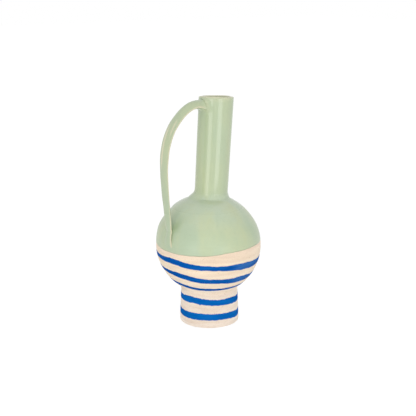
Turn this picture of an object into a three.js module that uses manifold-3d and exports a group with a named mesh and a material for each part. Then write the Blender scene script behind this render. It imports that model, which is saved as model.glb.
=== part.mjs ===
// A stoneware bud vase: a globe on a short foot, a tall leaning neck and one pulled strap handle,
// glazed above the belly and brushed with five bands of slip below it.
// Millimetres, +Z up. The origin is the centre of the foot's flat underside, and the handle lies in
// the XZ plane, towards -X.
import * as THREE from "three";
import { mergeVertices } from "three/addons/utils/BufferGeometryUtils.js";
import Module from "manifold-3d";

const wasm = await Module();
wasm.setup();

// Driving dimensions of the foot and its base.
const FOOT_HEIGHT = 40.5;
const FOOT_BASE_RADIUS = 32.9;
const FOOT_TOP_RADIUS = 31.2;
const FOOT_WALL = 4.5;
const BASE_THICKNESS = 6;
const BASE_EDGE_ROUND = 1.5;

// Driving dimensions of the globe: its widest line, the height of the dome above that line, and how
// far its axis sits from the foot's.
const BELLY_HEIGHT = 86.5;
const BELLY_RADIUS = 57.5;
const BELLY_SHIFT = -1.3;
const DOME_RISE = 56.2;
const GLOBE_WALL = 4.5;

// The glaze ends, and the dome is luted to the bowl, on a sloping plane through the globe's axis.
const GLAZE_LINE_HEIGHT = 91;
const GLAZE_LINE_SLOPE_DEG = 2.5;

// Driving dimensions of the neck. It leans away from the handle, with its rim left level.
const NECK_BASE_RADIUS = 17.8;
const NECK_RIM_RADIUS = 18.3;
const NECK_WALL = 3.9;
const NECK_SHIFT = 2.1;
const NECK_SHIFT_START_HEIGHT = 128;
const NECK_LEAN_DEG = 3.8;
const RIM_HEIGHT = 250;
const SEAT_LEDGE = 1.5;
const NECK_COIL_HEIGHT = 3.5;
const NECK_COIL_REACH = 3.5;

// The strap handle's route: level out of the neck, round a full bend to its widest point, in towards
// the globe, and down along the globe's side.
const HANDLE_TOP_DROP = 5.8;
const HANDLE_TOP_HEIGHT = RIM_HEIGHT - HANDLE_TOP_DROP;
const HANDLE_ROOT_DEPTH = 3;
const HANDLE_BEND_FULLNESS = 2.28;
const HANDLE_REACH = 60.8;
const HANDLE_WIDEST_HEIGHT = 176;
const HANDLE_DROP = 24;
const HANDLE_TOUCH_HEIGHT = 111;
const HANDLE_APPROACH = 20;
const HANDLE_TOUCH_LIFT = 2;
const TAIL_DROP = 17.5;
const TAIL_END_HEIGHT = HANDLE_TOUCH_HEIGHT - TAIL_DROP;
const TAIL_LIFT = 0.2;

// The strap's section at its upper bend, and its taper: shares of that width, thickness and outer
// crown, at shares of the way from the neck to the tail's end.
const STRAP_WIDTH = 14;
const STRAP_THICKNESS = 5.8;
const STRAP_CROWN = 1.1;
const STRAP_TAPER = [
  { along: 0.0, width: 1.11, thickness: 1.28, crown: 1.45 },
  { along: 0.12, width: 1.02, thickness: 1.16, crown: 1.2 },
  { along: 0.3, width: 1.0, thickness: 1.0, crown: 1.0 },
  { along: 0.5, width: 0.94, thickness: 0.67, crown: 0.9 },
  { along: 0.62, width: 0.9, thickness: 0.62, crown: 0.82 },
  { along: 0.78, width: 0.76, thickness: 0.86, crown: 0.73 },
  { along: 0.9, width: 0.74, thickness: 0.8, crown: 0.73 },
  { along: 1.0, width: 0.71, thickness: 0.41, crown: 0.45 },
];

// Soft clay worked round the handle's two joints: a flare on the neck, and a low pad on the globe
// that is thickest in the crotch under the strap.
const TOP_LUTE_LENGTH = 5;
const TOP_LUTE_SPREAD = 1.7;
const TAIL_LUTE_RISE = 9.5;
const TAIL_LUTE_DROP = 3.5;
const TAIL_LUTE_START_HEIGHT = HANDLE_TOUCH_HEIGHT + TAIL_LUTE_RISE;
const TAIL_LUTE_END_HEIGHT = TAIL_END_HEIGHT - TAIL_LUTE_DROP;
const TAIL_LUTE_WIDTH = 20;
const TAIL_LUTE_SQUARENESS = 4;
const TAIL_LUTE_START_CROWN = 1.8;
const TAIL_LUTE_END_CROWN = 0.8;
const TAIL_LUTE_SINK = 2;
const TAIL_LUTE_BLUNTNESS = 0.02;
const LUTE_EDGE = 0.5;

// Brushed bands, from the belly down: the mean height of each one's middle, and its width up the
// wall. tilt drops a band, as a share of its own middle height, a quarter turn past BAND_SIDE_DEG and
// lifts it a quarter turn before it. sag is the like share that it hangs lower at BAND_SIDE_DEG.
const BELLY_BAND_MIDDLE = 76.7;
const BELLY_BAND_WIDTH = 5.7;
const BOWL_BAND_MIDDLE = 60.7;
const BOWL_BAND_WIDTH = 5.8;
const THIN_BAND_MIDDLE = 47.5;
const THIN_BAND_WIDTH = 2.9;
const UPPER_FOOT_BAND_MIDDLE = 29.3;
const UPPER_FOOT_BAND_WIDTH = 6.4;
const LOWER_FOOT_BAND_MIDDLE = 12.3;
const LOWER_FOOT_BAND_WIDTH = 6.8;
const BANDS = [
  { middle: BELLY_BAND_MIDDLE, width: BELLY_BAND_WIDTH, tilt: 0.05, sag: 0.009, rows: 2 },
  { middle: BOWL_BAND_MIDDLE, width: BOWL_BAND_WIDTH, tilt: 0.077, sag: 0.025, rows: 2 },
  { middle: THIN_BAND_MIDDLE, width: THIN_BAND_WIDTH, tilt: 0.032, sag: 0.017, rows: 2 },
  { middle: UPPER_FOOT_BAND_MIDDLE, width: UPPER_FOOT_BAND_WIDTH, tilt: 0.051, sag: 0, rows: 1 },
  { middle: LOWER_FOOT_BAND_MIDDLE, width: LOWER_FOOT_BAND_WIDTH, tilt: 0.04, sag: 0, rows: 1 },
];
const BAND_SIDE_DEG = -128;
const BAND_THICKNESS = 0.3;

// A cut or painted piece keeps this much clear of what it lies on.
const CUT_CLEARANCE = 0.3;
const PAINT_CLEARANCE = 0.05;

// Fineness of the faceted surfaces.
const RING_STEPS = 60;
const BOWL_ROWS = { outside: 9, inside: 5 };
const DOME_ROWS = { outside: 10, inside: 6 };
const CORE_ROWS = 24;
const BASE_EDGE_STEPS = 3;
const LIP_STEPS = 6;
const COIL_STEPS = 3;
const BEND_POINTS = 10;
const DESCENT_POINTS = 5;
const TAIL_POINTS = 4;
const STRAP_STEPS = 44;
const STRAP_SIDES = 14;
const TOP_LUTE_STEPS = 8;
const TAIL_LUTE_STEPS = 12;
const GLAZE_LINE_PASSES = 8;
const HEIGHT_SEARCH_PASSES = 30;
const MERGE_DISTANCE = 1e-4;

const TURN = 2 * Math.PI;
const radians = THREE.MathUtils.degToRad;
const mix = THREE.MathUtils.lerp;
const ease = THREE.MathUtils.smoothstep;

const bandSide = radians(BAND_SIDE_DEG);
const glazeSlope = Math.tan(radians(GLAZE_LINE_SLOPE_DEG));
const seatRadius = NECK_BASE_RADIUS + SEAT_LEDGE;
const boreRadius = NECK_BASE_RADIUS - NECK_WALL;

// The bowl is a half-ellipsoid that lands on the foot's top edge.
const bowlDepth =
  (BELLY_HEIGHT - FOOT_HEIGHT) / Math.sqrt(1 - (FOOT_TOP_RADIUS / BELLY_RADIUS) ** 2);

// The height at which the dome has a given radius, for a wall's outside (inset 0) or inside.
function domeHeightAt(radius, inset) {
  const share = radius / (BELLY_RADIUS - inset);
  return BELLY_HEIGHT + (DOME_RISE - inset) * Math.sqrt(1 - share * share);
}

const seatHeight = domeHeightAt(seatRadius, 0);

// The globe's radius at a height, less an inset.
function globeRadius(height, inset = 0) {
  const reach = (height < BELLY_HEIGHT ? bowlDepth : DOME_RISE) - inset;
  const share = (height - BELLY_HEIGHT) / reach;
  return (BELLY_RADIUS - inset) * Math.sqrt(Math.max(0, 1 - share * share));
}

function footRadius(height) {
  return mix(FOOT_BASE_RADIUS, FOOT_TOP_RADIUS, height / FOOT_HEIGHT);
}

function neckRadius(height) {
  const share = (height - seatHeight) / (RIM_HEIGHT - seatHeight);
  return mix(NECK_BASE_RADIUS, NECK_RIM_RADIUS, share);
}

// The outside of the foot and the globe, as one surface.
function bodyRadius(height) {
  return height < FOOT_HEIGHT ? footRadius(height) : globeRadius(height);
}

// How far the vase's own centre line has drifted along X at a height.
function centreX(height) {
  if (height <= BELLY_HEIGHT) return BELLY_SHIFT * ease(height, FOOT_HEIGHT, BELLY_HEIGHT);
  const lean = Math.max(0, height - seatHeight) * Math.tan(radians(NECK_LEAN_DEG));
  return mix(BELLY_SHIFT, NECK_SHIFT, ease(height, NECK_SHIFT_START_HEIGHT, seatHeight)) + lean;
}

function surfacePoint(radius, height, azimuth) {
  return new THREE.Vector3(
    centreX(height) + radius * Math.cos(azimuth),
    radius * Math.sin(azimuth),
    height,
  );
}

// A grid of points, columns by rows, joined into one closed skin. The rows always close on
// themselves. The columns close too, unless the two ends are capped.
function skin(columns, capped) {
  const count = columns.length;
  const rows = columns[0].length;
  const positions = columns.flat().flatMap((point) => point.toArray());
  const faces = [];
  const spans = capped ? count - 1 : count;
  for (let i = 0; i < spans; i += 1) {
    for (let k = 0; k < rows; k += 1) {
      const a = i * rows + k;
      const b = ((i + 1) % count) * rows + k;
      const c = ((i + 1) % count) * rows + ((k + 1) % rows);
      const d = i * rows + ((k + 1) % rows);
      faces.push(a, b, c, a, c, d);
    }
  }
  if (capped) {
    for (let k = 1; k < rows - 1; k += 1) {
      const last = (count - 1) * rows;
      faces.push(0, k, k + 1, last, last + k + 1, last + k);
    }
  }
  const geometry = new THREE.BufferGeometry();
  geometry.setAttribute("position", new THREE.Float32BufferAttribute(positions, 3));
  geometry.setIndex(faces);
  return geometry;
}

// A ring whose section is a closed loop of stations, each a function from azimuth to
// [radius, height], taken up the outside and down the inside.
function ring(stations) {
  const columns = [];
  for (let i = 0; i < RING_STEPS; i += 1) {
    const azimuth = (i / RING_STEPS) * TURN;
    columns.push(stations.map((station) => surfacePoint(...station(azimuth), azimuth)));
  }
  return skin(columns, false);
}

// A solid stack of level circles, each [radius, height] from the bottom up, with flat lids.
function stack(circles) {
  const rings = circles.map(([radius, height]) =>
    Array.from({ length: RING_STEPS }, (_, i) =>
      surfacePoint(radius, height, (i / RING_STEPS) * TURN),
    ),
  );
  return skin(rings.reverse(), true);
}

// Stations at evenly spaced heights between two level or sloping edges, both ends included.
function rowsBetween(lowEdge, highEdge, count, radiusAt) {
  return Array.from({ length: count + 1 }, (_, k) => (azimuth) => {
    const height = mix(lowEdge(azimuth), highEdge(azimuth), k / count);
    return [radiusAt(height), height];
  });
}

const level = (height) => () => height;

function toSolid(geometry) {
  const plain = geometry.clone();
  plain.deleteAttribute("normal");
  plain.deleteAttribute("uv");
  const merged = mergeVertices(plain, MERGE_DISTANCE);
  return new wasm.Manifold(
    new wasm.Mesh({
      numProp: 3,
      vertProperties: merged.attributes.position.array,
      triVerts: new Uint32Array(merged.index.array),
    }),
  );
}

function toGeometry(solid) {
  const mesh = solid.getMesh();
  const geometry = new THREE.BufferGeometry();
  geometry.setAttribute("position", new THREE.BufferAttribute(mesh.vertProperties, 3));
  geometry.setIndex(new THREE.BufferAttribute(mesh.triVerts, 1));
  return geometry;
}

// The height of the sloping glaze line on the globe's wall at an azimuth. The line is a true plane
// cut, so the height is settled with the radius that it gives.
function glazeLine(azimuth, inset) {
  let height = GLAZE_LINE_HEIGHT;
  for (let pass = 0; pass < GLAZE_LINE_PASSES; pass += 1) {
    const radius = globeRadius(height, inset);
    const point = surfacePoint(radius, height, azimuth);
    const right = point.x * -Math.sin(bandSide) + point.y * Math.cos(bandSide);
    height = GLAZE_LINE_HEIGHT + right * glazeSlope;
  }
  return height;
}

// The slab that closes the foot: flat underneath, with its lower edge rounded.
function baseSlab() {
  const rounding = Array.from({ length: BASE_EDGE_STEPS + 1 }, (_, k) => {
    const angle = (Math.PI / 2) * (k / BASE_EDGE_STEPS);
    const radius = footRadius(0) - BASE_EDGE_ROUND * (1 - Math.sin(angle));
    return [radius, BASE_EDGE_ROUND * (1 - Math.cos(angle))];
  });
  return stack([...rounding, [footRadius(BASE_THICKNESS), BASE_THICKNESS]]);
}

function footWall() {
  const inside = (height) => footRadius(height) - FOOT_WALL;
  return ring([
    ...rowsBetween(level(BASE_THICKNESS), level(FOOT_HEIGHT), 1, footRadius),
    ...rowsBetween(level(FOOT_HEIGHT), level(BASE_THICKNESS), 1, inside),
  ]);
}

function lowerBowl() {
  const outside = (height) => globeRadius(height);
  const inside = (height) => globeRadius(height, GLOBE_WALL);
  const outerLine = (azimuth) => glazeLine(azimuth, 0);
  const innerLine = (azimuth) => glazeLine(azimuth, GLOBE_WALL);
  return ring([
    ...rowsBetween(level(FOOT_HEIGHT), outerLine, BOWL_ROWS.outside, outside),
    ...rowsBetween(innerLine, level(FOOT_HEIGHT), BOWL_ROWS.inside, inside),
  ]);
}

// The dome's rows are spaced by angle, closer in height near its top, where it flattens.
function domeRows(lowEdge, topHeight, count, inset) {
  const rise = DOME_RISE - inset;
  const topAngle = Math.asin((topHeight - BELLY_HEIGHT) / rise);
  return Array.from({ length: count + 1 }, (_, k) => (azimuth) => {
    const lowAngle = Math.asin((lowEdge(azimuth) - BELLY_HEIGHT) / rise);
    const height = BELLY_HEIGHT + rise * Math.sin(mix(lowAngle, topAngle, k / count));
    return [globeRadius(height, inset), height];
  });
}

function upperDome() {
  const underHeight = domeHeightAt(boreRadius, GLOBE_WALL);
  const outerLine = (azimuth) => glazeLine(azimuth, 0);
  const innerLine = (azimuth) => glazeLine(azimuth, GLOBE_WALL);
  const outer = domeRows(outerLine, seatHeight, DOME_ROWS.outside, 0);
  const inner = domeRows(innerLine, underHeight, DOME_ROWS.inside, GLOBE_WALL);
  return ring([...outer, () => [boreRadius, seatHeight], ...inner.reverse()]);
}

function neckTube() {
  const lipRadius = NECK_WALL / 2;
  const lipHeight = RIM_HEIGHT - lipRadius;
  const outside = (height) => neckRadius(height);
  const inside = (height) => neckRadius(height) - NECK_WALL;
  const lip = Array.from({ length: LIP_STEPS - 1 }, (_, k) => {
    const angle = (Math.PI * (k + 1)) / LIP_STEPS;
    const middle = neckRadius(lipHeight) - lipRadius;
    return () => [
      middle + lipRadius * Math.cos(angle),
      lipHeight + lipRadius * Math.sin(angle),
    ];
  });
  return ring([
    ...rowsBetween(level(seatHeight), level(seatHeight + NECK_COIL_HEIGHT), 1, outside),
    () => [outside(lipHeight), lipHeight],
    ...lip,
    () => [inside(lipHeight), lipHeight],
    () => [inside(seatHeight), seatHeight],
  ]);
}

// A coil of soft clay worked into the angle between the neck and the dome: a hollow-faced fillet.
function neckCoil() {
  const outRadius = seatRadius + NECK_COIL_REACH;
  const outHeight = domeHeightAt(outRadius, 0) + CUT_CLEARANCE;
  const topHeight = seatHeight + NECK_COIL_HEIGHT;
  const face = new THREE.QuadraticBezierCurve(
    new THREE.Vector2(outRadius, outHeight + LUTE_EDGE / 2),
    new THREE.Vector2(NECK_BASE_RADIUS + LUTE_EDGE, seatHeight + LUTE_EDGE),
    new THREE.Vector2(neckRadius(topHeight) + LUTE_EDGE / 2, topHeight),
  );
  const hollow = face.getPoints(COIL_STEPS).map((point) => () => [point.x, point.y]);
  return ring([
    () => [seatRadius, seatHeight + CUT_CLEARANCE],
    () => [outRadius, outHeight],
    ...hollow,
    () => [neckRadius(topHeight), topHeight],
    () => [neckRadius(seatHeight + CUT_CLEARANCE), seatHeight + CUT_CLEARANCE],
  ]);
}

// A brushed band: a thin skin over the body's own surface, between two uneven edges.
function band({ middle, width, tilt, sag, rows }) {
  const edge = (height) => (azimuth) => {
    const turn = azimuth - bandSide;
    return height - middle * (tilt * Math.sin(turn) + sag * Math.cos(2 * turn));
  };
  const low = middle - width / 2;
  const high = middle + width / 2;
  const under = (height) => bodyRadius(height) + PAINT_CLEARANCE;
  const over = (height) => under(height) + BAND_THICKNESS;
  return ring([
    ...rowsBetween(edge(low), edge(high), rows, over),
    ...rowsBetween(edge(high), edge(low), rows, under),
  ]);
}

// The strap's route in the XZ plane, as the line that joins its two outer edges.
function handleRoute() {
  const topCentre = centreX(HANDLE_TOP_HEIGHT);
  const root = topCentre - neckRadius(HANDLE_TOP_HEIGHT) + HANDLE_ROOT_DEPTH;
  const bendWidth = HANDLE_REACH + root;
  const bendRise = HANDLE_TOP_HEIGHT - HANDLE_WIDEST_HEIGHT;
  const points = [];
  const power = 2 / HANDLE_BEND_FULLNESS;
  for (let k = 0; k < BEND_POINTS; k += 1) {
    const angle = (k / BEND_POINTS) * (Math.PI / 2);
    points.push([
      root - bendWidth * Math.sin(angle) ** power,
      HANDLE_WIDEST_HEIGHT + bendRise * Math.cos(angle) ** power,
    ]);
  }
  const touch =
    centreX(HANDLE_TOUCH_HEIGHT) - globeRadius(HANDLE_TOUCH_HEIGHT) - HANDLE_TOUCH_LIFT;
  const descent = new THREE.CubicBezierCurve(
    new THREE.Vector2(-HANDLE_REACH, HANDLE_WIDEST_HEIGHT),
    new THREE.Vector2(-HANDLE_REACH, HANDLE_WIDEST_HEIGHT - HANDLE_DROP),
    new THREE.Vector2(touch, HANDLE_TOUCH_HEIGHT + HANDLE_APPROACH),
    new THREE.Vector2(touch, HANDLE_TOUCH_HEIGHT),
  );
  descent.getPoints(DESCENT_POINTS).forEach((point) => points.push(point.toArray()));
  for (let k = 1; k <= TAIL_POINTS; k += 1) {
    const height = mix(HANDLE_TOUCH_HEIGHT, TAIL_LUTE_END_HEIGHT, k / TAIL_POINTS);
    const lift = mix(HANDLE_TOUCH_LIFT, TAIL_LIFT, k / TAIL_POINTS);
    points.push([centreX(height) - globeRadius(height) - lift, height]);
  }
  return new THREE.CatmullRomCurve3(
    points.map(([x, z]) => new THREE.Vector3(x, 0, z)),
    false,
    "centripetal",
  );
}

const route = handleRoute();

// The share of the route at which it comes down to a height below its widest point.
function alongAtHeight(height) {
  let low = 1 / 2;
  let high = 1;
  for (let pass = 0; pass < HEIGHT_SEARCH_PASSES; pass += 1) {
    const middle = (low + high) / 2;
    if (route.getPointAt(middle).z > height) low = middle;
    else high = middle;
  }
  return low;
}

const strapEnd = alongAtHeight(TAIL_END_HEIGHT);

// The strap's taper in one size at a share of the route, eased between the listed places.
function strapTaper(name, along) {
  const share = Math.min(1, along / strapEnd);
  const next = STRAP_TAPER.findIndex((place) => place.along >= share);
  const upper = STRAP_TAPER[Math.max(1, next)];
  const lower = STRAP_TAPER[Math.max(1, next) - 1];
  return mix(lower[name], upper[name], ease(share, lower.along, upper.along));
}

// A solid along part of a line in the XZ plane. sizeAt gives its half width, its crown outside its
// middle line, its belly inside it, and how far that middle is sunk below the line.
function sweep(line, from, to, steps, sizeAt) {
  const columns = [];
  const across = new THREE.Vector3(0, 1, 0);
  for (let i = 0; i <= steps; i += 1) {
    const along = mix(from, to, i / steps);
    const centre = line.getPointAt(along);
    const outward = new THREE.Vector3().crossVectors(across, line.getTangentAt(along));
    const { half, crown, belly, sink } = sizeAt(along);
    const column = [];
    for (let k = 0; k < STRAP_SIDES; k += 1) {
      const angle = (k / STRAP_SIDES) * TURN;
      const height = Math.sin(angle) * (Math.sin(angle) > 0 ? crown : belly);
      column.push(
        centre
          .clone()
          .addScaledVector(across, half * Math.cos(angle))
          .addScaledVector(outward, height - sink),
      );
    }
    columns.push(column);
  }
  return toSolid(skin(columns, true));
}

// The strap's own section, grown all round by a clearance.
function strapSection(grow) {
  return (along) => {
    const crown = STRAP_CROWN * strapTaper("crown", along);
    return {
      half: (STRAP_WIDTH * strapTaper("width", along)) / 2 + grow,
      crown: crown + grow,
      belly: STRAP_THICKNESS * strapTaper("thickness", along) - crown + grow,
      sink: 0,
    };
  };
}

function strapSolid(grow) {
  const endGap = grow / route.getLength();
  return sweep(route, 0, strapEnd + endGap, STRAP_STEPS, strapSection(grow));
}

// The neck and the globe as plain cores, grown by a clearance, for cutting what rests on them.
function neckCore(grow) {
  return toSolid(stack([seatHeight, RIM_HEIGHT].map((z) => [neckRadius(z) + grow, z])));
}

function globeCore(grow) {
  const heights = Array.from({ length: CORE_ROWS + 1 }, (_, k) =>
    mix(FOOT_HEIGHT, seatHeight, k / CORE_ROWS),
  );
  return toSolid(stack(heights.map((z) => [globeRadius(z) + grow, z])));
}

function handleStrap() {
  return strapSolid(0)
    .subtract(neckCore(CUT_CLEARANCE))
    .subtract(globeCore(CUT_CLEARANCE));
}

// The collar of clay round the strap where it leaves the neck.
function topLute() {
  const length = TOP_LUTE_LENGTH / route.getLength();
  const wallShare = HANDLE_ROOT_DEPTH / route.getLength();
  const section = strapSection(0);
  const collar = sweep(route, 0, wallShare + length, TOP_LUTE_STEPS, (along) => {
    const share = Math.min(1, Math.max(0, (along - wallShare) / length));
    const spread = CUT_CLEARANCE + mix(TOP_LUTE_SPREAD, LUTE_EDGE, Math.sqrt(share));
    const { half, crown, belly } = section(along);
    return { half: half + spread, crown: crown + spread, belly: belly + spread, sink: 0 };
  });
  return collar.subtract(strapSolid(CUT_CLEARANCE)).subtract(neckCore(CUT_CLEARANCE));
}

// The low pad of clay under and round the strap's tail, with rounded ends.
function tailLute() {
  const heights = Array.from({ length: TAIL_LUTE_STEPS + 1 }, (_, k) =>
    mix(TAIL_LUTE_START_HEIGHT, TAIL_LUTE_END_HEIGHT, k / TAIL_LUTE_STEPS),
  );
  const saddle = new THREE.CatmullRomCurve3(
    heights.map((z) => new THREE.Vector3(centreX(z) - globeRadius(z), 0, z)),
    false,
    "centripetal",
  );
  const from = TAIL_LUTE_BLUNTNESS;
  const pad = sweep(saddle, from, 1 - from, TAIL_LUTE_STEPS, (along) => {
    const fromMiddle = Math.abs(2 * along - 1);
    const taper = (1 - fromMiddle ** TAIL_LUTE_SQUARENESS) ** (1 / TAIL_LUTE_SQUARENESS);
    return {
      half: (TAIL_LUTE_WIDTH / 2) * taper,
      crown: TAIL_LUTE_SINK + mix(TAIL_LUTE_START_CROWN, TAIL_LUTE_END_CROWN, along),
      belly: TAIL_LUTE_SINK,
      sink: TAIL_LUTE_SINK,
    };
  });
  return pad.subtract(strapSolid(CUT_CLEARANCE)).subtract(globeCore(CUT_CLEARANCE));
}

// Finishes.
const bareClay = new THREE.MeshStandardMaterial({ color: 0xead6c0, roughness: 0.9, metalness: 0 });
const glaze = new THREE.MeshStandardMaterial({ color: 0xbccdaa, roughness: 0.25, metalness: 0 });
const thinGlaze = new THREE.MeshStandardMaterial({
  color: 0xccd4ac,
  roughness: 0.3,
  metalness: 0,
});
const blueSlip = new THREE.MeshStandardMaterial({ color: 0x1f5fb2, roughness: 0.8, metalness: 0 });

const vase = new THREE.Group();

function add(name, geometry, material) {
  const mesh = new THREE.Mesh(geometry, material);
  mesh.name = name;
  vase.add(mesh);
}

add("base_slab", baseSlab(), bareClay);
add("foot_wall", footWall(), bareClay);
add("lower_bowl", lowerBowl(), bareClay);
add("upper_dome", upperDome(), glaze);
add("neck_tube", neckTube(), glaze);
add("neck_joint_coil", neckCoil(), glaze);
add("handle_strap", toGeometry(handleStrap()), glaze);
add("handle_top_lute", toGeometry(topLute()), thinGlaze);
add("handle_tail_lute", toGeometry(tailLute()), glaze);
BANDS.forEach((sizes, index) => add(`slip_band_${index + 1}`, band(sizes), blueSlip));

export default vase;
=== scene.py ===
import math

import bpy
import numpy as np
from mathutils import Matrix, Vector
from mathutils.bvhtree import BVHTree


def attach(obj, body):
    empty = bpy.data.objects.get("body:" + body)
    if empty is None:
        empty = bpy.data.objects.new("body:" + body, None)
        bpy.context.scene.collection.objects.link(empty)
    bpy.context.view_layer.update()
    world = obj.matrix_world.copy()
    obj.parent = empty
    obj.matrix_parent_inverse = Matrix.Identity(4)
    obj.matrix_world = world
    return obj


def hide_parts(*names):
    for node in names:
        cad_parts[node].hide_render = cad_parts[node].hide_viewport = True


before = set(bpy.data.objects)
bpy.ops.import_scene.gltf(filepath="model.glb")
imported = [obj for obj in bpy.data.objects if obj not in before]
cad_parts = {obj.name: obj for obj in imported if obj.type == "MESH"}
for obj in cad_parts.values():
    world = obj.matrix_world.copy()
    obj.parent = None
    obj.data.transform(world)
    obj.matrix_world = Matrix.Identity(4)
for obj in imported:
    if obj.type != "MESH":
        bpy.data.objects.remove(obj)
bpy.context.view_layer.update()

# Shapes are worked out in millimetres in the part's own frame and written in metres.
MM = 0.001
TURN = 2 * math.pi

# Body sizes, as in the solids.
FOOT_HEIGHT = 40.5
FOOT_BASE_RADIUS = 32.9
FOOT_TOP_RADIUS = 31.2
BASE_THICKNESS = 6.0
BASE_EDGE_ROUND = 1.5
BELLY_HEIGHT = 86.5
BELLY_RADIUS = 57.5
BELLY_SHIFT = -1.3
DOME_RISE = 56.2
WALL = 4.5
NECK_BASE_RADIUS = 17.8
NECK_RIM_RADIUS = 18.3
NECK_WALL = 3.9
NECK_SWELL = 0.4
NECK_SHIFT = 2.1
NECK_SHIFT_START = 128.0
NECK_LEAN_DEG = 3.8
SEAT_RADIUS = NECK_BASE_RADIUS + 1.5
RIM_HEIGHT = 250.0

# The handle's route, as in the solids.
HANDLE_TOP = RIM_HEIGHT - 5.8
HANDLE_ROOT_DEPTH = 3.0
HANDLE_FULLNESS = 2.28
HANDLE_REACH = 60.8
HANDLE_WIDEST = 176.0
HANDLE_DROP = 24.0
HANDLE_TOUCH = 111.0
HANDLE_APPROACH = 20.0
TAIL_END = HANDLE_TOUCH - 17.5

# The photographed side, as an angle round the part. The camera stands on it, and the marks that the
# photograph shows are placed by degrees round from it, positive to the right.
VIEW_DEG = -128.0
HANDLE_DEG = 180

# How far the glaze stands off the clay, and how wide the joints at foot and neck are worked smooth.
GLAZE_PROUD = 0.22
FOOT_JOINT_BLEND = 1.6
NECK_JOINT_BLEND = 2.6

# The fillet round the neck's base: less of it to the front, and more to one side.
FILLET = 1.8
FILLET_LESS_IN_FRONT = 1.1
FILLET_MORE_ASIDE = 4.4
FILLET_ASIDE_DEG = 150

# The low ring that the coil's upper edge leaves round the neck.
RING_PROUD = 0.3
RING_ABOVE_SEAT = 4.2
RING_REACH = 1.7


def ease(value, low, high):
    """0 up to the low value and 1 from the high one, with a smooth rise between."""
    t = np.clip((np.asarray(value, float) - low) / (high - low), 0, 1)
    return t * t * (3 - 2 * t)


def mound(value, middle, width):
    """1 at the middle, falling away smoothly on both sides over about the width."""
    return np.exp(-(((value - middle) / width) ** 2))


def wrapped(degrees):
    """The same angle, from -180 to 180."""
    return (degrees + 180) % 360 - 180


def through(x, marks, values):
    """A smooth curve through the listed values, level past either end."""
    x = np.clip(np.asarray(x, float), marks[0], marks[-1])
    marks = np.asarray(marks, float)
    values = np.asarray(values, float)
    slopes = np.gradient(values, marks)
    i = np.clip(np.searchsorted(marks, x) - 1, 0, len(marks) - 2)
    span = marks[i + 1] - marks[i]
    t = (x - marks[i]) / span
    a = (1 + 2 * t) * (1 - t) ** 2 * values[i] + t * (1 - t) ** 2 * span * slopes[i]
    return a + t * t * (3 - 2 * t) * values[i + 1] - t * t * (1 - t) * span * slopes[i + 1]


def smooth_max(a, b, k):
    """The larger of two heights, with the corner between them rounded over a width k."""
    h = np.clip(k - np.abs(a - b), 0, None) / k
    return np.maximum(a, b) + h * h * k / 4


BOWL_DEPTH = (BELLY_HEIGHT - FOOT_HEIGHT) / math.sqrt(1 - (FOOT_TOP_RADIUS / BELLY_RADIUS) ** 2)
SEAT = BELLY_HEIGHT + DOME_RISE * math.sqrt(1 - (SEAT_RADIUS / BELLY_RADIUS) ** 2)


def ellipse_radius(z, inset=0.0):
    """The globe's radius at a height, or that of a surface set in from it."""
    z = np.asarray(z, float)
    reach = np.where(z < BELLY_HEIGHT, BOWL_DEPTH, DOME_RISE) - inset
    share = np.clip((z - BELLY_HEIGHT) / reach, -1, 1)
    return (BELLY_RADIUS - inset) * np.sqrt(1 - share * share)


def centre_x(z):
    """Where the body's middle line is along X, from the foot up the leaning neck."""
    z = np.asarray(z, float)
    belly = BELLY_SHIFT * ease(z, FOOT_HEIGHT, BELLY_HEIGHT)
    lean = np.clip(z - SEAT, 0, None) * math.tan(math.radians(NECK_LEAN_DEG))
    return belly + (NECK_SHIFT - BELLY_SHIFT) * ease(z, NECK_SHIFT_START, SEAT) + lean


def neck_radius(z):
    """The solids' plain cone, opening a little more towards the rim as a thrown neck does."""
    share = (np.asarray(z, float) - SEAT) / (RIM_HEIGHT - SEAT)
    return NECK_BASE_RADIUS + (NECK_RIM_RADIUS + NECK_SWELL - NECK_BASE_RADIUS) * share


# The rim was trimmed a little out of level: lower at the back and to the right, as photographed.
RIM_DROP_BACK = math.tan(math.radians(4.2))
RIM_DROP_RIGHT = math.tan(math.radians(0.9))


def rim_drop(points):
    """The same points with those near the rim let down by its tilt."""
    view = math.radians(VIEW_DEG)
    x = points[..., 0] - centre_x(RIM_HEIGHT)
    back = -(x * math.cos(view) + points[..., 1] * math.sin(view))
    right = -x * math.sin(view) + points[..., 1] * math.cos(view)
    moved = points.copy()
    share = ease(points[..., 2], RIM_HEIGHT - 16, RIM_HEIGHT - 3)
    moved[..., 2] -= (RIM_DROP_BACK * back + RIM_DROP_RIGHT * right) * share
    return moved


def turned(az):
    """Degrees round from the photographed side, from -180 to 180."""
    return wrapped(np.degrees(az) - VIEW_DEG)


# How much fuller than its ellipse the body is at each height. Those from 50 to 130 began as a
# program's fit to the photographed outline, and were then lessened and changed.
HEIGHT_MARKS = [30, 38, 50, 62, 74, 86, 98, 110, 120, 130, 134, 139, 141.5, 144.5, 149]
FULLNESS_MARKS = [0, 0, -0.1, -0.25, -0.05, 0, 0.1, 0.05, -0.2, 0.1, 0.5, 1.6, 1.1, 0.1, 0]

# A hand left the shoulder fuller towards the handle. Each of its swells: how proud, its reach in
# degrees, its height and its reach up and down.
SHOULDER_DEG = 140
SHOULDER_SWELLS = [(1.85, 42, 114, 15), (2.3, 50, 133, 6)]


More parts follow.
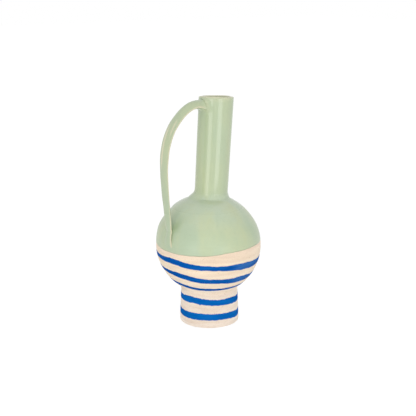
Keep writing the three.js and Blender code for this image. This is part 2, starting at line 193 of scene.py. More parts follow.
def hand(az, z):
    """How far the hand-made body stands off its true round, at an angle and height."""
    round_trip = 0.12 * np.sin(2 * az + 0.7 + z / 60) + 0.07 * np.sin(3 * az - 1.1 + z / 25)
    swell = through(z, HEIGHT_MARKS, FULLNESS_MARKS)
    aside = np.abs(wrapped(np.degrees(az) - SHOULDER_DEG))
    shoulder = 0
    for proud, across, height, reach in SHOULDER_SWELLS:
        shoulder = shoulder + proud * mound(aside, 0, across) * mound(z, height, reach)
    finger = 0.05 * np.sin(z * 2.1 + 0.4 * np.sin(az)) + 0.03 * np.sin(z * 1.27 + 1.3 * np.sin(az + 2))
    return round_trip + swell + shoulder + finger * (1 - ease(z, 100, 128))


def neck_axis(z):
    """Where the neck's own leaning axis is along X."""
    return NECK_SHIFT + (np.asarray(z, float) - SEAT) * math.tan(math.radians(NECK_LEAN_DEG))


def reach_from(centre, other_centre, radius, az):
    """How far it is from one centre to the edge of a circle about another, both on the X axis."""
    shift = centre - other_centre
    square = np.clip(radius ** 2 - (shift * np.sin(az)) ** 2, 0, None)
    return -shift * np.cos(az) + np.sqrt(square)


def body_radius(az, z):
    """The outside of the foot, globe and neck at heights up to the rim."""
    az, z = np.broadcast_arrays(az, z)
    foot = FOOT_BASE_RADIUS + (FOOT_TOP_RADIUS - FOOT_BASE_RADIUS) * z / FOOT_HEIGHT
    globe = ellipse_radius(np.clip(z, BELLY_HEIGHT - BOWL_DEPTH + 1, None)) + hand(az, z)
    low = smooth_max(np.where(z < FOOT_HEIGHT + 4, foot + hand(az, z), 0), globe, FOOT_JOINT_BLEND)
    # The neck stands to one side of the globe's middle, with a worked fillet round its base.
    centre = centre_x(z)
    dome = reach_from(centre, BELLY_SHIFT, globe, az)
    left = (0.5 + 0.5 * np.cos(az - math.radians(FILLET_ASIDE_DEG))) ** 3
    front = np.clip(np.cos(az - math.radians(VIEW_DEG)), 0, None) ** 2
    fillet = FILLET - FILLET_LESS_IN_FRONT * front + FILLET_MORE_ASIDE * left * (1 - front)
    fillet = fillet * mound(np.clip(z - SEAT + 1, 0, None), 0, 3.6 + 2.0 * left)
    fillet = fillet + RING_PROUD * (1 - left) * mound(z - SEAT, RING_ABOVE_SEAT, RING_REACH)
    neck = reach_from(centre, neck_axis(z), neck_radius(z) + fillet, az)
    high = smooth_max(dome, neck + 0.5 * hand(az, z), NECK_JOINT_BLEND)
    return np.where(z < NECK_SHIFT_START, low, high)


def on_body(az, z, proud=0.0, inset=0.0):
    """Points on the body's outside, or standing off it, or set in from it."""
    radius = body_radius(az, z) + proud - inset
    cx = centre_x(z)
    return np.stack(np.broadcast_arrays(cx + radius * np.cos(az), radius * np.sin(az), z), -1)


# Heights of the glaze line and of each band's upper and lower edge, every 10 degrees from -70 to 70
# round from the photographed side, and then at 105, 140, 180, 220 and 255. Those from -70 to 70 were
# worked out by a program from edges measured in the photograph, and some were then changed.
# The other five, round the far side, are guessed.
EDGE_DEGREES = list(range(-70, 71, 10)) + [105, 140, 180, 220, 255]
GLAZE_EDGE = [90.9, 89.7, 89.6, 89.3, 89.3, 89.4, 89.8, 90.1, 91.1, 92.1, 92.4, 92.7, 93.0, 93.4, 93.1,
              93.6, 92.8, 92.3, 91.2, 91.6]
BAND_EDGES = {
    "slip_band_1": (
        [82.5, 82.3, 83.2, 83.5, 81.9, 80.5, 79.5, 79.0, 78.2, 78.0, 78.4, 78.3, 77.8, 77.2, 76.8,
         77.4, 78.6, 80.3, 80.9, 82.4],
        [78.0, 77.6, 77.5, 77.4, 75.9, 74.8, 74.2, 74.1, 73.6, 72.7, 72.0, 71.0, 70.6, 70.2, 70.8,
         71.6, 72.4, 74.4, 75.8, 77.2]),
    "slip_band_2": (
        [67.6, 67.5, 67.5, 67.6, 66.5, 64.8, 63.1, 62.3, 62.0, 61.4, 61.4, 62.2, 61.9, 60.6, 60.2,
         61.2, 62.7, 63.9, 65.5, 67.0],
        [63.8, 63.2, 62.6, 61.2, 60.0, 58.4, 57.3, 57.0, 56.8, 56.1, 55.1, 55.0, 55.0, 55.0, 55.8,
         56.1, 57.3, 58.8, 60.2, 62.6]),
    "slip_band_3": (
        [52.8, 52.8, 52.5, 51.7, 50.1, 49.0, 48.6, 48.6, 48.2, 47.9, 48.1, 48.2, 48.4, 48.6, 48.8,
         49.3, 49.0, 50.2, 50.9, 52.1],
        [48.6, 48.5, 48.1, 47.2, 46.2, 45.5, 45.3, 45.3, 45.3, 45.4, 45.4, 45.6, 45.8, 45.8, 45.8,
         46.5, 46.8, 47.0, 48.0, 48.9]),
    "slip_band_4": (
        [32.6, 33.0, 33.9, 34.2, 33.7, 33.5, 32.8, 32.4, 32.1, 31.6, 31.6, 31.9, 31.8, 31.0, 30.5,
         31.4, 32.2, 31.8, 33.1, 33.3],
        [27.1, 26.9, 26.8, 27.1, 27.7, 27.1, 26.6, 26.3, 25.9, 25.8, 25.5, 25.2, 24.8, 24.5, 24.1,
         24.6, 25.8, 25.9, 26.9, 26.4]),
    "slip_band_5": (
        [15.7, 15.6, 15.7, 15.9, 16.0, 16.1, 16.2, 15.9, 15.8, 15.8, 15.5, 15.4, 15.3, 14.5, 13.9,
         15.2, 15.8, 15.1, 16.0, 16.3],
        [9.0, 8.8, 8.8, 8.8, 8.9, 9.1, 9.3, 9.3, 9.1, 9.2, 9.1, 8.6, 8.0, 7.5, 7.3,
         8.2, 8.9, 8.4, 8.6, 9.3]),
}


# How many times round the body each of a brushed edge's trembles comes.
TREMBLES_ROUND = (23, 31, 47, 61, 89, 113)


def edge_line(heights, seed, tremble, steps=()):
    """A closed, smoothed edge through the listed heights, with a brush's small tremble, and with
    steps where the brush was set down again (degrees, drop, reach)."""
    ring = np.arange(720) / 2.0
    marks = np.array(EDGE_DEGREES, float) % 360
    order = np.argsort(marks)
    raw = np.interp(ring, marks[order], np.array(heights, float)[order], period=360)
    offsets = np.arange(-18, 19)
    kernel = mound(offsets, 0, 7.0)
    kernel /= kernel.sum()
    smooth = sum(w * np.roll(raw, -s) for w, s in zip(kernel, offsets))
    for degree, drop, reach in steps:
        aside = wrapped(ring - degree)
        cut_off = np.where(aside > 0, ease(-aside, -1.6, 0), 1)
        smooth = smooth - drop * mound(aside, 0, reach) * cut_off
    rng = np.random.default_rng(seed)
    for count in TREMBLES_ROUND:
        phase = rng.uniform(0, TURN)
        size = tremble * rng.uniform(0.5, 1.0) * (30 / count) ** 0.7
        smooth = smooth + size * np.sin(np.radians(ring) * count + phase)
    return lambda az: np.interp(turned(az) % 360, ring, smooth, period=360)


# Where the brush was set down again: degrees round, how far the lower edge drops, and over how many
# degrees.
BRUSH_STEPS = {"slip_band_4": [(-18.0, 0.8, 6.0)], "slip_band_2": [(152, 0.5, 7.0)]}
BAND_TREMBLE = 0.11
GLAZE_TREMBLE = 0.07

# The bands with a streaky stretch, where the brush ran dry, and where it comes and goes, in degrees.
DRY_BANDS = ("slip_band_1", "slip_band_2", "slip_band_3")
DRY_COMES = (21, 43)
DRY_GOES = (80, 110)

# How far the slip soaked out past the edges listed.
SOAK = {"slip_band_3": 0.4}
USUAL_SOAK = 0.32

glaze_line = edge_line(GLAZE_EDGE, 11, GLAZE_TREMBLE)


def build(name, rings, caps=(False, False), attributes=None):
    """A smooth-shaded mesh from an array of rings (rings, points, 3) in mm. Each ring closes on
    itself. A cap adds a middle point to the first or last ring."""
    count, per = rings.shape[:2]
    points = [rings.reshape(-1, 3)]
    faces = []
    k = np.arange(per)
    n = (k + 1) % per
    for i in range(count - 1):
        a = i * per
        b = (i + 1) * per
        faces.append(np.stack([a + k, a + n, b + n, b + k], -1))
    faces = [tuple(f) for f in np.concatenate(faces).tolist()]
    extra = count * per
    for which, capped in zip((0, count - 1), caps):
        if not capped:
            continue
        points.append(rings[which].mean(0)[None])
        row = which * per
        for j in range(per):
            pair = (row + j, row + (j + 1) % per)
            faces.append((extra, pair[1], pair[0]) if which == 0 else (extra, *pair))
        extra += 1
    co = np.concatenate(points) * MM
    mesh = bpy.data.meshes.new(name)
    mesh.from_pydata(co.tolist(), [], faces)
    mesh.shade_smooth()
    for key, values in (attributes or {}).items():
        layer = mesh.attributes.new(key, "FLOAT", "POINT")
        full = np.zeros(len(mesh.vertices), np.float32)
        flat = np.asarray(values, np.float32).ravel()
        full[:flat.size] = flat
        layer.data.foreach_set("value", full)
    mesh.update()
    obj = bpy.data.objects.new(name, mesh)
    bpy.context.scene.collection.objects.link(obj)
    return obj


def column_angles(wide_step, fine_step, fine_reach):
    """Columns round the body, closer together beside the handle."""
    fine = np.arange(-fine_reach, fine_reach + 1e-6, fine_step)
    rest = 360 - 2 * fine_reach
    count = int(round(rest / wide_step))
    wide = fine_reach + rest * (np.arange(1, count)) / count
    return np.radians(HANDLE_DEG + np.concatenate([fine, wide]))


def heights_by_arc(low, high, spacing):
    """Heights from low to high whose steps along the outside are about spacing(z)."""
    z = np.linspace(low, high, 4000)
    r = body_radius(np.full_like(z, math.radians(-90)), z)
    step = np.hypot(np.diff(z), np.diff(r)) / spacing((z[1:] + z[:-1]) / 2)
    run = np.concatenate([[0], np.cumsum(step)])
    count = int(math.ceil(run[-1]))
    return np.interp(np.linspace(0, run[-1], count + 1), run, z)


# How far the tail's face stands off the globe as it is pressed down on to it.
TAIL_LIFT_HEIGHTS = [92, 94, 97, 102, 107, 111]
TAIL_LIFTS = [-0.8, -0.1, 0.8, 1.8, 2.4, 2.5]


def handle_route():
    """The handle's middle line on its outer face, in the XZ plane, evenly spaced."""
    root = float(centre_x(HANDLE_TOP) - neck_radius(HANDLE_TOP)) + HANDLE_ROOT_DEPTH
    width = HANDLE_REACH + root
    rise = HANDLE_TOP - HANDLE_WIDEST
    power = 2 / HANDLE_FULLNESS
    angle = np.linspace(0, math.pi / 2, 160)
    bend = np.stack([root - width * np.sin(angle) ** power,
                     HANDLE_WIDEST + rise * np.clip(np.cos(angle), 0, 1) ** power], -1)
    touch = float(centre_x(HANDLE_TOUCH) - ellipse_radius(HANDLE_TOUCH)) - TAIL_LIFTS[-1]
    t = np.linspace(0, 1, 120)[1:, None]
    a = np.array([-HANDLE_REACH, HANDLE_WIDEST])
    b = np.array([-HANDLE_REACH, HANDLE_WIDEST - HANDLE_DROP])
    c = np.array([touch, HANDLE_TOUCH + HANDLE_APPROACH])
    d = np.array([touch, HANDLE_TOUCH])
    drop = (1 - t) ** 3 * a + 3 * (1 - t) ** 2 * t * b + 3 * (1 - t) * t * t * c + t ** 3 * d
    z = np.linspace(HANDLE_TOUCH, TAIL_END - 1.2, 60)[1:]
    lift = through(z, TAIL_LIFT_HEIGHTS, TAIL_LIFTS)
    tail = np.stack([centre_x(z) - ellipse_radius(z) - lift, z], -1)
    line = np.concatenate([bend, drop, tail])
    run = np.concatenate([[0], np.cumsum(np.linalg.norm(np.diff(line, axis=0), axis=1))])
    even = np.linspace(0, run[-1], 1200)
    line = np.stack([np.interp(even, run, line[:, i]) for i in range(2)], -1)
    kernel = mound(np.arange(-14, 15), 0, 6.0)
    kernel /= kernel.sum()
    padded = np.pad(line, ((14, 14), (0, 0)), mode="reflect", reflect_type="odd")
    return np.stack([np.convolve(padded[:, i], kernel, "valid") for i in range(2)], -1)


ROUTE = handle_route()

# The strap's sections at shares along the route: how far its edges stand off it, its half width, how
# far its face is crowned above the edges, how deep its belly is below them, and how round that is.
# The first two, and the crown up to a share of 0.3, began as a program's fit to the photographed
# outlines, and some of them were then changed.
STRAP_SECTIONS = [
    (0.0, -7.2, 6.2, 9.7, 0.6, 2.0),
    (0.02, -5.8, 6.6, 8.4, 0.8, 2.0),
    (0.05, -3.4, 7.5, 6.7, 2.2, 2.0),
    (0.1, -1.5, 8.2, 5.5, 2.8, 1.8),
    (0.15, -1.2, 8.3, 4.4, 3.0, 1.6),
    (0.22, -1.0, 8.5, 2.7, 3.4, 1.5),
    (0.3, -0.65, 8.2, 1.2, 3.6, 1.5),
    (0.38, -0.45, 7.7, 0.9, 3.3, 1.5),
    (0.46, -0.45, 7.5, 0.7, 3.0, 1.5),
    (0.54, -0.55, 7.0, 0.7, 2.9, 1.5),
    (0.62, -0.65, 6.6, 0.7, 2.9, 1.6),
    (0.7, -0.3, 6.4, 0.7, 3.2, 2.0),
    (0.78, 0, 5.7, 0.8, 3.3, 2.3),
    (0.84, 0, 5.6, 0.8, 2.9, 2.4),
    (0.9, 0, 6.5, 0.8, 2.6, 2.4),
    (0.95, 0, 9.2, 0.7, 2.4, 2.4),
    (1.0, 0, 10.2, 0.5, 2.2, 2.4),
]

# How far the tail's face is pressed down towards +Y, at shares along the route.
TAIL_PRESS_ALONG = [0.82, 0.84, 0.86, 0.875, 0.89, 0.905, 0.92, 0.95, 0.98, 1.0]
TAIL_PRESS = [0, 0, 0.25, 0.8, 1.7, 2.6, 3.1, 2.8, 2.0, 1.4]

# The shares at which the strap has rings, closer together towards both ends.
STRAP_SHARES = np.concatenate([np.linspace(0, 0.07, 56), np.linspace(0.07, 0.74, 170)[1:],
                               np.linspace(0.74, 1, 150)[1:]])


def strap_rings():
    """The strap's rings from the neck to the tail, and how thin the glaze is over them, with a painted
    highlight along its ridges.
    """
    share = STRAP_SHARES
    along, *sizes = zip(*STRAP_SECTIONS)
    offset, half, crown, belly, power = (through(share, along, size) for size in sizes)
    pick = share * (len(ROUTE) - 1)
    index = np.arange(len(ROUTE))
    centre = np.stack([np.interp(pick, index, ROUTE[:, i]) for i in range(2)], -1)
    tangent = np.gradient(centre, share, axis=0)
    tangent /= np.linalg.norm(tangent, axis=1)[:, None]
    outward = np.stack([tangent[:, 1], -tangent[:, 0]], -1)
    outward *= np.sign((outward * np.array([-1, 0.5])).sum(1))[:, None]
    centre = centre + outward * offset[:, None]
    half = half * (1 + 0.012 * np.sin(share * 31 + 1) + 0.01 * np.sin(share * 57))
    top = np.linspace(0, math.pi, 33)[:-1]
    under = np.linspace(math.pi, TURN, 21)[:-1]
    theta = np.concatenate([top, under])
    side = np.cos(theta)
    is_top = np.arange(theta.size) < top.size
    # The outer face is fullest a little towards +Y, and squarer where it meets the neck.
    fullness = 2 + 1.2 * (1 - ease(share, 0.02, 0.12))
    face = (1 - np.abs(side[None]) ** fullness[:, None]) * (1 + 0.25 * side[None])
    w = half[:, None] * side[None]
    over = crown[:, None] * face
    # A pulled ridge runs down the face beside its +Y edge, with a short fainter one across from it.
    ridge = mound(side, 0.46, 0.16)[None] * ease(share, 0.24, 0.33)[:, None]
    ridge = ridge * (1 - ease(share, 0.45, 0.56))[:, None]
    second = mound(side, -0.4, 0.13)[None] * ease(share, 0.2, 0.26)[:, None]
    second = second * (1 - ease(share, 0.3, 0.36))[:, None]
    over = over + 0.22 * ridge + 0.12 * second
    below = -belly[:, None] * (1 - np.abs(side[None]) ** power[:, None])
    # Towards +Y the tail's face was pressed down until its edge went into the globe.
    press = through(share, TAIL_PRESS_ALONG, TAIL_PRESS)[:, None] * ease(side, -0.3, 1.0)[None]
    height = np.where(is_top[None], over, below) - press
    height = height - 0.35 * mound(np.abs(side), 1, 0.02)[None] * np.where(is_top, 0, 1)[None]
    px = centre[:, 0][:, None] + outward[:, 0][:, None] * height
    pz = centre[:, 1][:, None] + outward[:, 1][:, None] * height
    # At the root the rings curve round with the neck, so that all of the end is inside its wall.
    bow = neck_radius(HANDLE_TOP) - np.sqrt(neck_radius(HANDLE_TOP) ** 2 - np.clip(w, -12, 12) ** 2)
    px = px + bow * (1 - ease(share, 0.0, 0.07))[:, None]
    points = np.stack([px, w, pz], -1)
    # The glaze breaks thin over the strap's edges and ridges. Along the ridges the pale streak is partly
    # thin glaze and partly a painted highlight.
    gap = half[:, None] * (1 - np.abs(side))[None]
    width = 0.95 + 0.6 * ease(share, 0.75, 0.88)
    edge = 1.15 * mound(gap, 0, width[:, None]) * np.where(side < 0, 1.0, 0.5)[None]
    edge = edge * ease(share, 0.015, 0.07)[:, None] * (1 - ease(share, 0.965, 0.995))[:, None]
    edge = edge * np.where(side[None] > 0, 1 - ease(share, 0.86, 0.9)[:, None], 1)
    edge = edge * (1 - 0.5 * mound(pz, 137, 14))
    # Painted highlight: the pale streaks along the ridges, over their thin glaze.
    edge = np.maximum(edge, np.where(is_top[None], 1.25 * ridge + 0.75 * second, 0))
    return points, edge


def search_tree(points, closed=False):
    """A search tree over a grid of rings, closed across its first and last ring if asked."""
    count, per = points.shape[:2]
    flat = [Vector(p) for p in points.reshape(-1, 3).tolist()]
    k = np.arange(per)
    n = (k + 1) % per
    faces = []
    for i in range(count - 1):
        faces += np.stack([i * per + k, i * per + n, (i + 1) * per + n, (i + 1) * per + k], -1).tolist()
    if closed:
        faces += [k.tolist(), ((count - 1) * per + k).tolist()]
    return BVHTree.FromPolygons(flat, faces)


# A direction that runs along no face of the strap, for telling inside from outside.
SOUNDING = Vector((-0.83, 0.11, 0.55)).normalized()


def within_strap(points):
    """Whether points lie inside the strap: a line out from inside crosses its surface an odd number
    of times."""
    inside = []
    for point in points.tolist():
        here = Vector(point)
        crossings = 0
        while crossings < 12:
            hit = strap_tree.ray_cast(here, SOUNDING)[0]
            if hit is None:
                break
            crossings += 1
            here = hit + SOUNDING * 1e-4
        inside.append(crossings % 2 == 1)
    return np.array(inside)


def normals_of(points):
    """Unit normals of a grid of rings, pointing away from the middle of each ring's loop."""
    along = np.gradient(points, axis=0)
    around = (np.roll(points, -1, 1) - np.roll(points, 1, 1)) / 2
    normal = np.cross(around, along)
    normal /= np.linalg.norm(normal, axis=2)[..., None] + 1e-12
    return normal


def blend_width(y, z):
    """How far clay is worked in beside the handle: at the tail more on the side that was smeared
    flat, and at the top more below the joint than right under the rim."""
    tail = (1 - ease(z, 106, 130)) * ease(z, 91, 99)
    smeared = 2.0 + (3.4 - 2.0) * tail
    crisp = 1.4 + (1.0 - 1.4 * ease(z, 101, 108)) * tail
    top = ease(z, 225, 235)
    low = crisp + (smeared - crisp) * ease(y, -3.0, 3.0)
    under_rim = 2.2 + (7.0 - 2.2) * (1 - ease(z, 245, 248.5))
    return low * (1 - top) + under_rim * top


strap_points, strap_thin_glaze_and_highlight = strap_rings()
strap_normals = normals_of(strap_points)
middle = strap_points.mean(1)[:, None]
flip = np.sign(((strap_points - middle) * strap_normals).sum((1, 2)).mean())
strap_normals = strap_normals * flip

# The glazed outside, from the glaze line to the rim, as a grid of heights by columns.
LINE_HEIGHT = 91.0
columns = column_angles(2.0, 0.5, 26)


def glazed_spacing(z):
    """Rows are closer together where the handle joins the globe and neck."""
    coarse = np.full_like(z, 2.2)
    coarse = np.where(z < 124, 0.9, coarse)
    coarse = np.where((z > 133) & (z < 149), 0.6, coarse)
    return np.where(z > 231, 0.4, coarse)


def glaze_proud(az, z):
    """How far the glaze stands off the clay: thinning out over the last millimetre."""
    return GLAZE_PROUD * np.sqrt(ease(z - glaze_line(az), -0.05, 1.3))


lip_radius = NECK_WALL / 2
lip_height = RIM_HEIGHT - lip_radius
outer_heights = heights_by_arc(LINE_HEIGHT, lip_height, glazed_spacing)
line_shift = glaze_line(columns) - LINE_HEIGHT
z_grid = outer_heights[:, None] + line_shift[None] * (1 - ease(outer_heights, 92, 112))[:, None]
az_grid = np.broadcast_to(columns[None], z_grid.shape)
above_line = z_grid - glaze_line(columns)[None]
outside = on_body(az_grid, z_grid, glaze_proud(az_grid, z_grid))
outside_normals = normals_of(outside)
straight_out = np.stack([np.cos(az_grid), np.sin(az_grid)], -1)
outside_normals *= np.sign((outside_normals[..., :2] * straight_out).sum())


def within_body(points):
    """Whether points lie inside the globe or neck."""
    centre = centre_x(points[:, 2])
    az = np.arctan2(points[:, 1], points[:, 0] - centre)
    radius = body_radius(az, points[:, 2]) + glaze_proud(az, points[:, 2])
    return np.hypot(points[:, 0] - centre, points[:, 1]) < radius


def joined(points, normals, other, within, mask):
    """Moves the masked points out along their normals, so that they flow into the other surface."""
    start = points[mask]
    along = normals[mask]
    k = blend_width(start[:, 1], start[:, 2])
    t = np.zeros(len(start))
    for _ in range(2):
        here = start + along * t[:, None]
        near = np.array([other.find_nearest(Vector(p))[0] for p in here.tolist()])
        away = here - near
        distance = np.linalg.norm(away, axis=1)
        sign = np.where(within(here), -1.0, 1.0)
        gap_here = sign * distance
        slope = (away * along).sum(1) * sign / (distance + 1e-9)
        # Only what faces the other surface, or stands across from it, is built up.
        facing = 1 - ease(slope, 0.5, 1.0) * (gap_here > 0)
        base = t.copy()
        for _ in range(30):
            gap = gap_here + slope * (t - base)
            beyond = gap - t
            want = np.where(beyond > 0, np.clip(k - beyond, 0, None) ** 2 / (4 * k), k / 4 + beyond)
            t = t + 0.4 * (np.clip(want, -0.8, None) * facing - t)
    moved = points.copy()
    moved[mask] = start + along * t[:, None]
    lift = np.zeros(points.shape[:2])
    lift[mask] = t
    return moved, lift


from_handle = wrapped(np.degrees(az_grid) - HANDLE_DEG)
near_tail = (np.abs(from_handle) < 26) & (z_grid < 128)
near_top = (np.abs(from_handle) < 80) & (z_grid > 228)
body_tree = search_tree(outside)
strap_tree = search_tree(strap_points, closed=True)
outside, outside_lift = joined(outside, outside_normals, strap_tree, within_strap, near_tail | near_top)
near_ends = (STRAP_SHARES < 0.08) | (STRAP_SHARES > 0.72)
near_ends = np.broadcast_to(near_ends[:, None], strap_points.shape[:2])
strap_points, strap_lift = joined(strap_points, strap_normals, body_tree, within_body, near_ends)

# The rolled rim, the bore, and the inside down to the floor of the foot.
lip_rows = []
for angle in np.linspace(0, math.pi, 13)[1:-1]:
    radius = body_radius(columns, np.full_like(columns, lip_height)) + GLAZE_PROUD - lip_radius
    radius = radius + lip_radius * math.cos(angle)
    wave = 0.12 * np.sin(2 * columns + 1.0) + 0.06 * np.sin(5 * columns)
    z = lip_height + (lip_radius - 0.25 + wave) * math.sin(angle) ** 0.9
    cx = centre_x(lip_height)
    lip_rows.append(np.stack([cx + radius * np.cos(columns), radius * np.sin(columns), z], -1))


def ring_at(radius, z):
    """A level ring of the pot's columns about the middle line."""
    cx = centre_x(z)
    x = cx + radius * np.cos(columns)
    return np.stack([x, radius * np.sin(columns), np.full_like(columns, z)], -1)


inside_rows = []
for z in np.linspace(lip_height, SEAT, 22):
    inside_rows.append(ring_at(neck_radius(z) + GLAZE_PROUD - NECK_WALL, z))
bore = NECK_BASE_RADIUS - NECK_WALL
under = BELLY_HEIGHT + (DOME_RISE - WALL) * math.sqrt(1 - (bore / (BELLY_RADIUS - WALL)) ** 2)
for t in np.linspace(0, 1, 16)[1:]:
    angle = math.asin((under - BELLY_HEIGHT) / (DOME_RISE - WALL)) * (1 - t)
    z = BELLY_HEIGHT + (DOME_RISE - WALL) * math.sin(angle)
    inside_rows.append(ring_at(ellipse_radius(z, WALL), z))
foot_inside = FOOT_TOP_RADIUS - WALL
for z in np.linspace(BELLY_HEIGHT, FOOT_HEIGHT + 4, 12)[1:]:
    inside_rows.append(ring_at(np.maximum(ellipse_radius(z, WALL), foot_inside - 1), z))
for z in (36.0, 24.0, 12.0, 8.5):
    inside_rows.append(ring_at(foot_inside, z))
for shrink, z in ((0.8, 7.0), (2.4, 6.2), (6.0, BASE_THICKNESS), (16.0, BASE_THICKNESS)):
    inside_rows.append(ring_at(foot_inside - shrink, z))

glazed = np.concatenate([outside, np.array(lip_rows), np.array(inside_rows)])
rim_level = glazed[..., 2] - RIM_HEIGHT
glazed = rim_drop(glazed)

# The glaze is thin on the lip and a little below it, and over its lower edge.
outer_count = len(outside)
thin = mound(rim_level, 0, 1.5) * 0.9
outer_thin = thin[:outer_count]
outer_thin = np.maximum(outer_thin, 0.2 * mound(rim_level[:outer_count], -3, 3))
outer_thin = np.maximum(outer_thin, 0.55 * mound(above_line, 0, 0.5))
thin[:outer_count] = outer_thin
# Just under the lip the glaze was wiped thin in one place.
WIPED_DEG = 38
turn_round = np.broadcast_to(turned(columns)[None], rim_level.shape)
wiped = 0.5 * mound(turn_round, WIPED_DEG, 24) * mound(rim_level, -1.5, 2.0)
thin = np.maximum(thin, wiped)
# The glaze is thin again on the slip worked in round the top of the handle.
worked_in = np.clip(outside_lift / 0.8, 0, 1) * ease(z_grid, 230, 242)
thin[:outer_count] = np.maximum(thin[:outer_count], 0.28 * worked_in)

# The glaze pooled along the handle's joints, in the fillet round the neck, and most of all in the corner
# behind the tail. The darker green there is partly that pooled glaze and partly painted shade.
below_rim = np.where(z_grid < 200, 1.0, ease(247 - z_grid, 0, 5))
outer_pool_and_shade = np.clip(outside_lift / 1.2, 0, 1) * below_rim
outer_pool_and_shade = np.maximum(outer_pool_and_shade, 0.4 * mound(z_grid - SEAT, 0.8, 2.2))
outer_pool_and_shade = np.maximum(outer_pool_and_shade, 1.5 * (mound(z_grid, 115, 7) * mound(from_handle, 9, 5)))
glaze_pool_and_shade = np.zeros(glazed.shape[:2])
glaze_pool_and_shade[:outer_count] = outer_pool_and_shade

# Backing for the glazed pot, inside its wall, so that it is a closed form.
BACKING_DEPTH = 2.6
back_rows = [on_body(columns, glaze_line(columns) + 0.9, 0.0, 0.1)]
back_rows.append(on_body(columns, glaze_line(columns) + 0.95, 0.0, 2.3))
for z in (80.0, 66.0, 54.0, 46.0):
    back_rows.append(ring_at(float(ellipse_radius(z)) - BACKING_DEPTH, z))
for z in (38.0, 20.0, 3.4):
    back_rows.append(ring_at(FOOT_TOP_RADIUS - BACKING_DEPTH, z))
back = np.array(back_rows)
glazed_all = np.concatenate([back[::-1], glazed])
pad_rows = np.zeros(back.shape[:2])
# Painted light: the coat is painted paler over the upper part of the globe, which light from above falls
# on.
dome = np.clip((glazed[..., 2] - 112) / 22, 0, 1) * (1 - ease(glazed[..., 2], 141, 150))
glazed_pot = build("glazed_pot", glazed_all, caps=(True, True), attributes={
    "thin": np.concatenate([pad_rows, thin]), "glaze_pool_and_shade": np.concatenate([pad_rows, glaze_pool_and_shade]),
    "dome": np.concatenate([pad_rows, dome])})

strap_height = strap_points[..., 2]
# Along the strap's joints and low on it, the darker green is partly pooled glaze and partly painted
# shade.
strap_pool_and_shade = np.clip(strap_lift / 1.2, 0, 1) * (strap_height < 200)
strap_pool_and_shade = np.maximum(strap_pool_and_shade, 0.25 * mound(strap_height, 128, 9))
strap = build("strap_handle", strap_points, caps=(True, True), attributes={
    "thin": strap_thin_glaze_and_highlight, "glaze_pool_and_shade": strap_pool_and_shade})

# The bare clay: flat underside, foot and bowl up to just under the glaze's edge, closed inside.
CLAY_BACKING_DEPTH = 2.2
clay_columns = np.radians(np.arange(0, 360, 1.5))


def clay_ring(radius, z):
    """A ring of the clay's columns, with a radius and a height for each."""
    cx = centre_x(z)
    return np.stack([cx + radius * np.cos(clay_columns), radius * np.sin(clay_columns), z], -1)


clay_rows = []
for radius in (12.0, 24.0, 29.0):
    clay_rows.append(clay_ring(np.full_like(clay_columns, radius), np.zeros_like(clay_columns)))
foot_edge = body_radius(clay_columns, np.full_like(clay_columns, BASE_EDGE_ROUND))
for angle in np.linspace(0, math.pi / 2, 6):
    radius = foot_edge - BASE_EDGE_ROUND * (1 - math.sin(angle))
    z = BASE_EDGE_ROUND * (1 - math.cos(angle))
    clay_rows.append(clay_ring(radius, np.full_like(clay_columns, z)))


def clay_spacing(z):
    """Rows are closer together where the foot meets the bowl."""
    return np.where(np.abs(z - FOOT_HEIGHT) < 3, 0.5, 1.1)


clay_heights = heights_by_arc(BASE_EDGE_ROUND + 0.8, 91.7, clay_spacing)
clay_line = glaze_line(clay_columns)
for z in clay_heights:
    clay_rows.append(on_body(clay_columns, z + (clay_line - LINE_HEIGHT) * ease(z, 72, LINE_HEIGHT)))
clay_rows.append(on_body(clay_columns, clay_line + 0.7, 0.0, 2.0))
for z in (78.0, 64.0, 52.0, 45.0):
    clay_rows.append(clay_ring(np.full_like(clay_columns, float(ellipse_radius(z)) - CLAY_BACKING_DEPTH),
                               np.full_like(clay_columns, z)))
for z in (38.0, 20.0, 2.6):
    clay_rows.append(clay_ring(np.full_like(clay_columns, FOOT_TOP_RADIUS - CLAY_BACKING_DEPTH),
                               np.full_like(clay_columns, z)))
clay_all = np.array(clay_rows)
bare_foot = build("bare_foot_and_bowl", clay_all, caps=(True, True))

# The brushed bands' columns, their section (share of the width, how proud of the clay), and the
# share next to either edge over which they wear.
band_columns = np.radians(np.arange(0, 360, 0.8))
BAND_SECTION = [(-0.04, -0.25), (0.0, -0.02), (0.03, 0.10), (0.1, 0.14), (0.3, 0.15), (0.5, 0.15),
                (0.7, 0.15), (0.9, 0.14), (0.97, 0.10), (1.0, -0.02), (1.04, -0.25)]
WORN_SHARE = 0.16
FIRST_SEED = 20


def brushed_band(name, top_heights, low_heights, seed):
    """A thin skin of slip between two brushed edges, which dip under the clay."""
    soak = SOAK.get(name, USUAL_SOAK)
    steps = BRUSH_STEPS.get(name, ())
    top = edge_line(top_heights, seed, BAND_TREMBLE)(band_columns) + soak
    low = edge_line(low_heights, seed + 50, BAND_TREMBLE, steps)(band_columns) - soak
    side = turned(band_columns)
    dry_round = (name in DRY_BANDS) * ease(side, *DRY_COMES) * (1 - ease(side, *DRY_GOES))
    rows = []
    edge = []
    for share, proud_mm in BAND_SECTION:
        z = low + (top - low) * share
        rows.append(on_body(band_columns, z, proud_mm))
        edge.append(np.full_like(band_columns, max(0.0, 1 - min(share, 1 - share) / WORN_SHARE)))
    dry = np.broadcast_to(dry_round, (len(rows), len(band_columns)))
    return build(f"brushed_{name}", np.array(rows), attributes={"edge": np.array(edge), "dry": dry})


bands = []
for index, (name, edges) in enumerate(BAND_EDGES.items()):
    bands.append(brushed_band(name, *edges, FIRST_SEED + index))


def linear(r, g, b):
    """An sRGB colour, 0 to 255, as the linear colour that a shader takes."""
    def one(v):
        v /= 255
        return v / 12.92 if v <= 0.04045 else ((v + 0.055) / 1.055) ** 2.4
    return (one(r), one(g), one(b), 1.0)


GLASSY_IOR = 1.5

